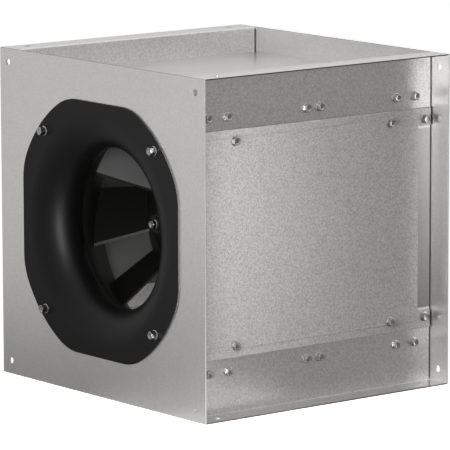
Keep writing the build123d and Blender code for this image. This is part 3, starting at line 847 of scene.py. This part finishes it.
# For each of the spokes round the duct axis, the unit vectors outward and across.
def spokes(count):
    for angle in np.arange(count) * 2 * np.pi / count:
        out = np.array([np.cos(angle), 0.0, np.sin(angle)])
        yield out, np.cross(yAxis, out)


# Fins are thin beads along the body, whose size follows sin(s) ** fade and so swells fast from each end.
def makeFins(values, axle, bodyRadius):
    steps = values["finSteps"]
    swell = np.sin(np.linspace(0, np.pi, steps)) ** values["finFade"]
    fins = []
    for out, across in spokes(values["fins"]):
        foot = axle + out * bodyRadius
        for start, end in values["finRows"]:
            path = np.linspace(foot + yAxis * start, foot + yAxis * end, steps)
            tall, thick = out * values["finHeight"], across * values["finThickness"]
            fins.append(carriedBead(path, tall, thick, swell, values["ribAround"]))
    joinGrids("motor_fins", fins, "motor_paint", "casing", sharpAngle=50)


# A rib down the cone of the rear bell, standing square to the cone.
def ribBead(values, axle, out, across):
    top = axle + yAxis * values["ribTop"][0] + out * values["ribTop"][1]
    foot = axle + yAxis * values["ribFoot"][0] + out * values["ribFoot"][1]
    proud = np.cross(across, foot - top)
    proud /= np.linalg.norm(proud)
    steps = values["ribSteps"]
    swell = np.sin(np.linspace(values["ribStart"], np.pi - values["ribStart"], steps)) ** values["ribFade"]
    tall, thick = proud * values["ribHeight"], across * values["ribThickness"]
    return carriedBead(np.linspace(top, foot, steps), tall, thick, swell, values["ribAround"])


# Ribs and round bosses on the rear bell, and a bearing cap whose radius and height follow its profile: a low
# dome with a dimple. Each boss has a tie bolt's head on its end.
def makeRearBell(values, axle, bellLow, bellHigh):
    cast, seats = [], []
    bossSize = np.append(np.full(values["bossSteps"] - 1, 1.0), values["bossEdge"]) * values["bossRadius"]
    for index, (out, across) in enumerate(spokes(values["ribs"])):
        if index % values["bossEvery"] == values["firstBoss"]:
            foot = axle + out * values["bossCircle"]
            start = foot + yAxis * (bellLow.y + values["bossSunk"])
            end = foot + yAxis * values["bossEnd"]
            path = np.linspace(start, end, values["bossSteps"])
            cast.append(carriedBead(path, out, across, bossSize, values["bossAround"]))
            seats.append(end)
        else:
            cast.append(ribBead(values, axle, out, across))
    share, rise = np.array(values["capProfile"]).T
    path = axle + yAxis * (bellHigh.y - values["capSunk"] + rise[:, None] * values["capRise"])
    cast.append(carriedBead(path, xAxis, zAxis, share * values["capRadius"], values["capAround"]))
    joinGrids("motor_bell_castings", cast, "motor_bells", "casing", sharpAngle=50)
    bolt = screwGrid(screw, *values["boltHead"], values["boltTurn"]) @ facing(1, 1)
    joinGrids("motor_tie_bolts", [bolt + seat for seat in seats], "zinc_fasteners", "casing", sharpAngle=50)


bodyLow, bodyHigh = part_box("motor_body")
bellLow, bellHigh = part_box("motor_back_bell")
motorAxle = zAxis * ((bodyLow.z + bodyHigh.z) / 2)
makeFins(motor, motorAxle, (bellHigh.x - bellLow.x) / 2)
makeRearBell(motor, motorAxle, bellLow, bellHigh)
print("cast the motor's fins, ribs and cap")


# floor, backdrop and light

studio = {
    "floorColour": 0.46,
    "floorGlow": 0.90,
    "floorSize": 60.0,
    "worldLight": 0.24,
}
# at is the azimuth, elevation and distance from the middle of the object.
lamps = {
    "wallPanel": {"at": (54.0, 22.0, 7.0), "size": (5.0, 3.6), "radiance": 0.4, "gloss": False},
    "nearPanel": {"at": (36.0, 4.0, 0.78), "size": (0.26, 0.5), "radiance": 15.0, "gloss": True},
    "rightPanel": {"at": (57.4, 7.7, 0.6), "size": (0.25, 0.25), "radiance": 11.0, "gloss": False},
    "frontPanel": {"at": (-40.0, 18.0, 3.0), "size": (1.6, 1.6), "radiance": 0.3, "gloss": False},
    "topPanel": {"at": (0.0, 88.0, 3.0), "size": (2.6, 2.6), "radiance": 0.9, "gloss": False},
}
# around, above and nearFloor are the cloth's brightness. Each side replaces it near one azimuth.
tent = {
    "radius": 1.9,
    "rise": 2.4,
    "floor": 0.0004,
    "floorHole": 0.02,
    "floorRings": 10,
    "domeEnd": 89.0,
    "domeRings": 14,
    "spokes": 72,
    "around": 0.74,
    "above": 1.1,
    "aboveFrom": (0.8, 1.6),
    "nearFloor": 0.52,
    "floorFrom": (0.4, 1.6),
    "low": 0.45,
    "high": 0.75,
    "sides": (
        {"azimuth": -52.0, "near": 0.31, "far": 0.68, "high": 0.80, "from": 0.30, "to": 0.90, "reach": 1.6},
        {"azimuth": 180.0, "near": 0.30, "far": 0.35, "high": 0.80, "from": 0.60, "to": 0.95, "reach": 1.6},
        {"azimuth": 118.0, "near": 0.34, "far": 0.30, "high": 1.15, "from": 0.40, "to": 0.90, "reach": 1.6},
        {"azimuth": 60.0, "near": 0.80, "far": 1.30, "high": 1.42, "from": 0.80, "to": 0.97, "reach": 1.9},
    ),
}
objectCentre = Vector((0.0, 0.0, 0.24))


# 1 for rays that see the backdrop, straight or in a gloss or through glass.
def whiteForCamera(graph):
    path = graph.add("ShaderNodeLightPath")
    seen = graph.math("ADD", path.outputs["Is Camera Ray"], path.outputs["Is Glossy Ray"])
    return graph.math("ADD", seen, path.outputs["Is Transmission Ray"], clamp=True)


def makeFloor(values):
    half = values["floorSize"] / 2
    corners = np.array([(-half, -half, 0), (half, -half, 0), (half, half, 0), (-half, half, 0)])
    floor = addMesh("studioFloor", corners, np.array([(0, 1, 2, 3)]))
    material, graph = emptyMaterial("paleFloor")
    matte = graph.add("ShaderNodeBsdfDiffuse")
    matte.inputs["Color"].default_value = grey(values["floorColour"])
    glow = graph.add("ShaderNodeEmission")
    graph.join(graph.math("MULTIPLY", whiteForCamera(graph), values["floorGlow"]), glow.inputs["Strength"])
    both = graph.add("ShaderNodeAddShader")
    graph.join(matte.outputs[0], both.inputs[0])
    graph.join(glow.outputs[0], both.inputs[1])
    graph.join(both.outputs[0], graph.add("ShaderNodeOutputMaterial").inputs[0])
    floor.data.materials.append(material)


def makeWorld(values):
    world = bpy.data.worlds.new("studioAir")
    scene.world = world
    world.use_nodes = True
    world.node_tree.nodes.clear()
    graph = Graph(world.node_tree)
    air = graph.add("ShaderNodeBackground")
    level = graph.ramp(whiteForCamera(graph), 0.0, 1.0, values["worldLight"], 1.0)
    graph.join(level, air.inputs["Strength"])
    graph.join(air.outputs[0], graph.add("ShaderNodeOutputWorld").inputs[0])


def makeLamp(name, values):
    azimuth, elevation, distance = values["at"]
    back = direction(azimuth, elevation)
    width, height = values["size"]
    data = bpy.data.lights.new(name, "AREA")
    data.shape = "RECTANGLE"
    data.size, data.size_y = width, height
    data.energy = values["radiance"] * math.pi * width * height
    lamp = bpy.data.objects.new(name, data)
    lamp.location = objectCentre + back * distance
    lamp.rotation_euler = back.to_track_quat("Z", "Y").to_euler()
    lamp.visible_camera = False
    lamp.visible_glossy = values["gloss"]
    scene.collection.objects.link(lamp)


# The tent's brightness: darker near the foot of the object, its own on each side, and lighter overhead.
def tentCloth(values):
    material, graph = emptyMaterial("tentCloth")
    place = graph.add("ShaderNodeTexCoord").outputs["Object"]
    flatPlace = graph.vector("MULTIPLY", place, (1.0, 1.0, 0.0)).outputs[0]
    heading = graph.vector("NORMALIZE", flatPlace).outputs[0]
    distance = graph.vector("LENGTH", flatPlace).outputs["Value"]
    height = graph.split(place)[2]
    rising = graph.ramp(height, values["low"], values["high"], smooth=True)
    level = graph.ramp(distance, *values["floorFrom"], values["nearFloor"], values["around"], smooth=True)
    for side in values["sides"]:
        towards = tuple(direction(side["azimuth"], 0.0))
        cosine = graph.vector("DOT_PRODUCT", heading, towards).outputs["Value"]
        share = graph.ramp(cosine, side["from"], side["to"], smooth=True)
        below = graph.ramp(distance, values["floorFrom"][0], side["reach"], side["near"], side["far"])
        sideLevel = graph.ramp(rising, 0.0, 1.0, below, side["high"])
        level = graph.ramp(share, 0.0, 1.0, level, sideLevel)
    overhead = graph.ramp(height, *values["aboveFrom"], smooth=True)
    level = graph.ramp(overhead, 0.0, 1.0, level, values["above"])
    glow = graph.add("ShaderNodeEmission")
    graph.join(level, glow.inputs["Strength"])
    graph.join(glow.outputs[0], graph.add("ShaderNodeOutputMaterial").inputs[0])
    return material


# A round light tent that only gloss sees. Its floor is r (cos t, sin t) for r up to the radius, and its dome
# is (radius cos f cos t, radius cos f sin t, rise sin f).
def makeTent(values):
    t = np.linspace(0.0, 2 * np.pi, values["spokes"], endpoint=False)
    flat = np.linspace(values["floorHole"], values["radius"], values["floorRings"], endpoint=False)
    f = np.linspace(0.0, np.radians(values["domeEnd"]), values["domeRings"])
    radius = np.concatenate([flat, values["radius"] * np.cos(f)])
    height = np.concatenate([0 * flat, values["rise"] * np.sin(f)]) + values["floor"]
    r, angle = np.meshgrid(radius, t, indexing="ij")
    z = np.repeat(height[:, None], len(t), axis=1)
    points = np.stack([r * np.cos(angle), r * np.sin(angle), z], -1).reshape(-1, 3)
    dome = addMesh("lightTent", points, gridFaces(len(radius), len(t)))
    dome.visible_camera = dome.visible_diffuse = dome.visible_shadow = dome.visible_transmission = False
    dome.data.materials.append(tentCloth(values))


makeFloor(studio)
makeTent(tent)
makeWorld(studio)
for lampName, lampValues in lamps.items():
    makeLamp(lampName, lampValues)
print("set the floor and", len(lamps), "lamps")
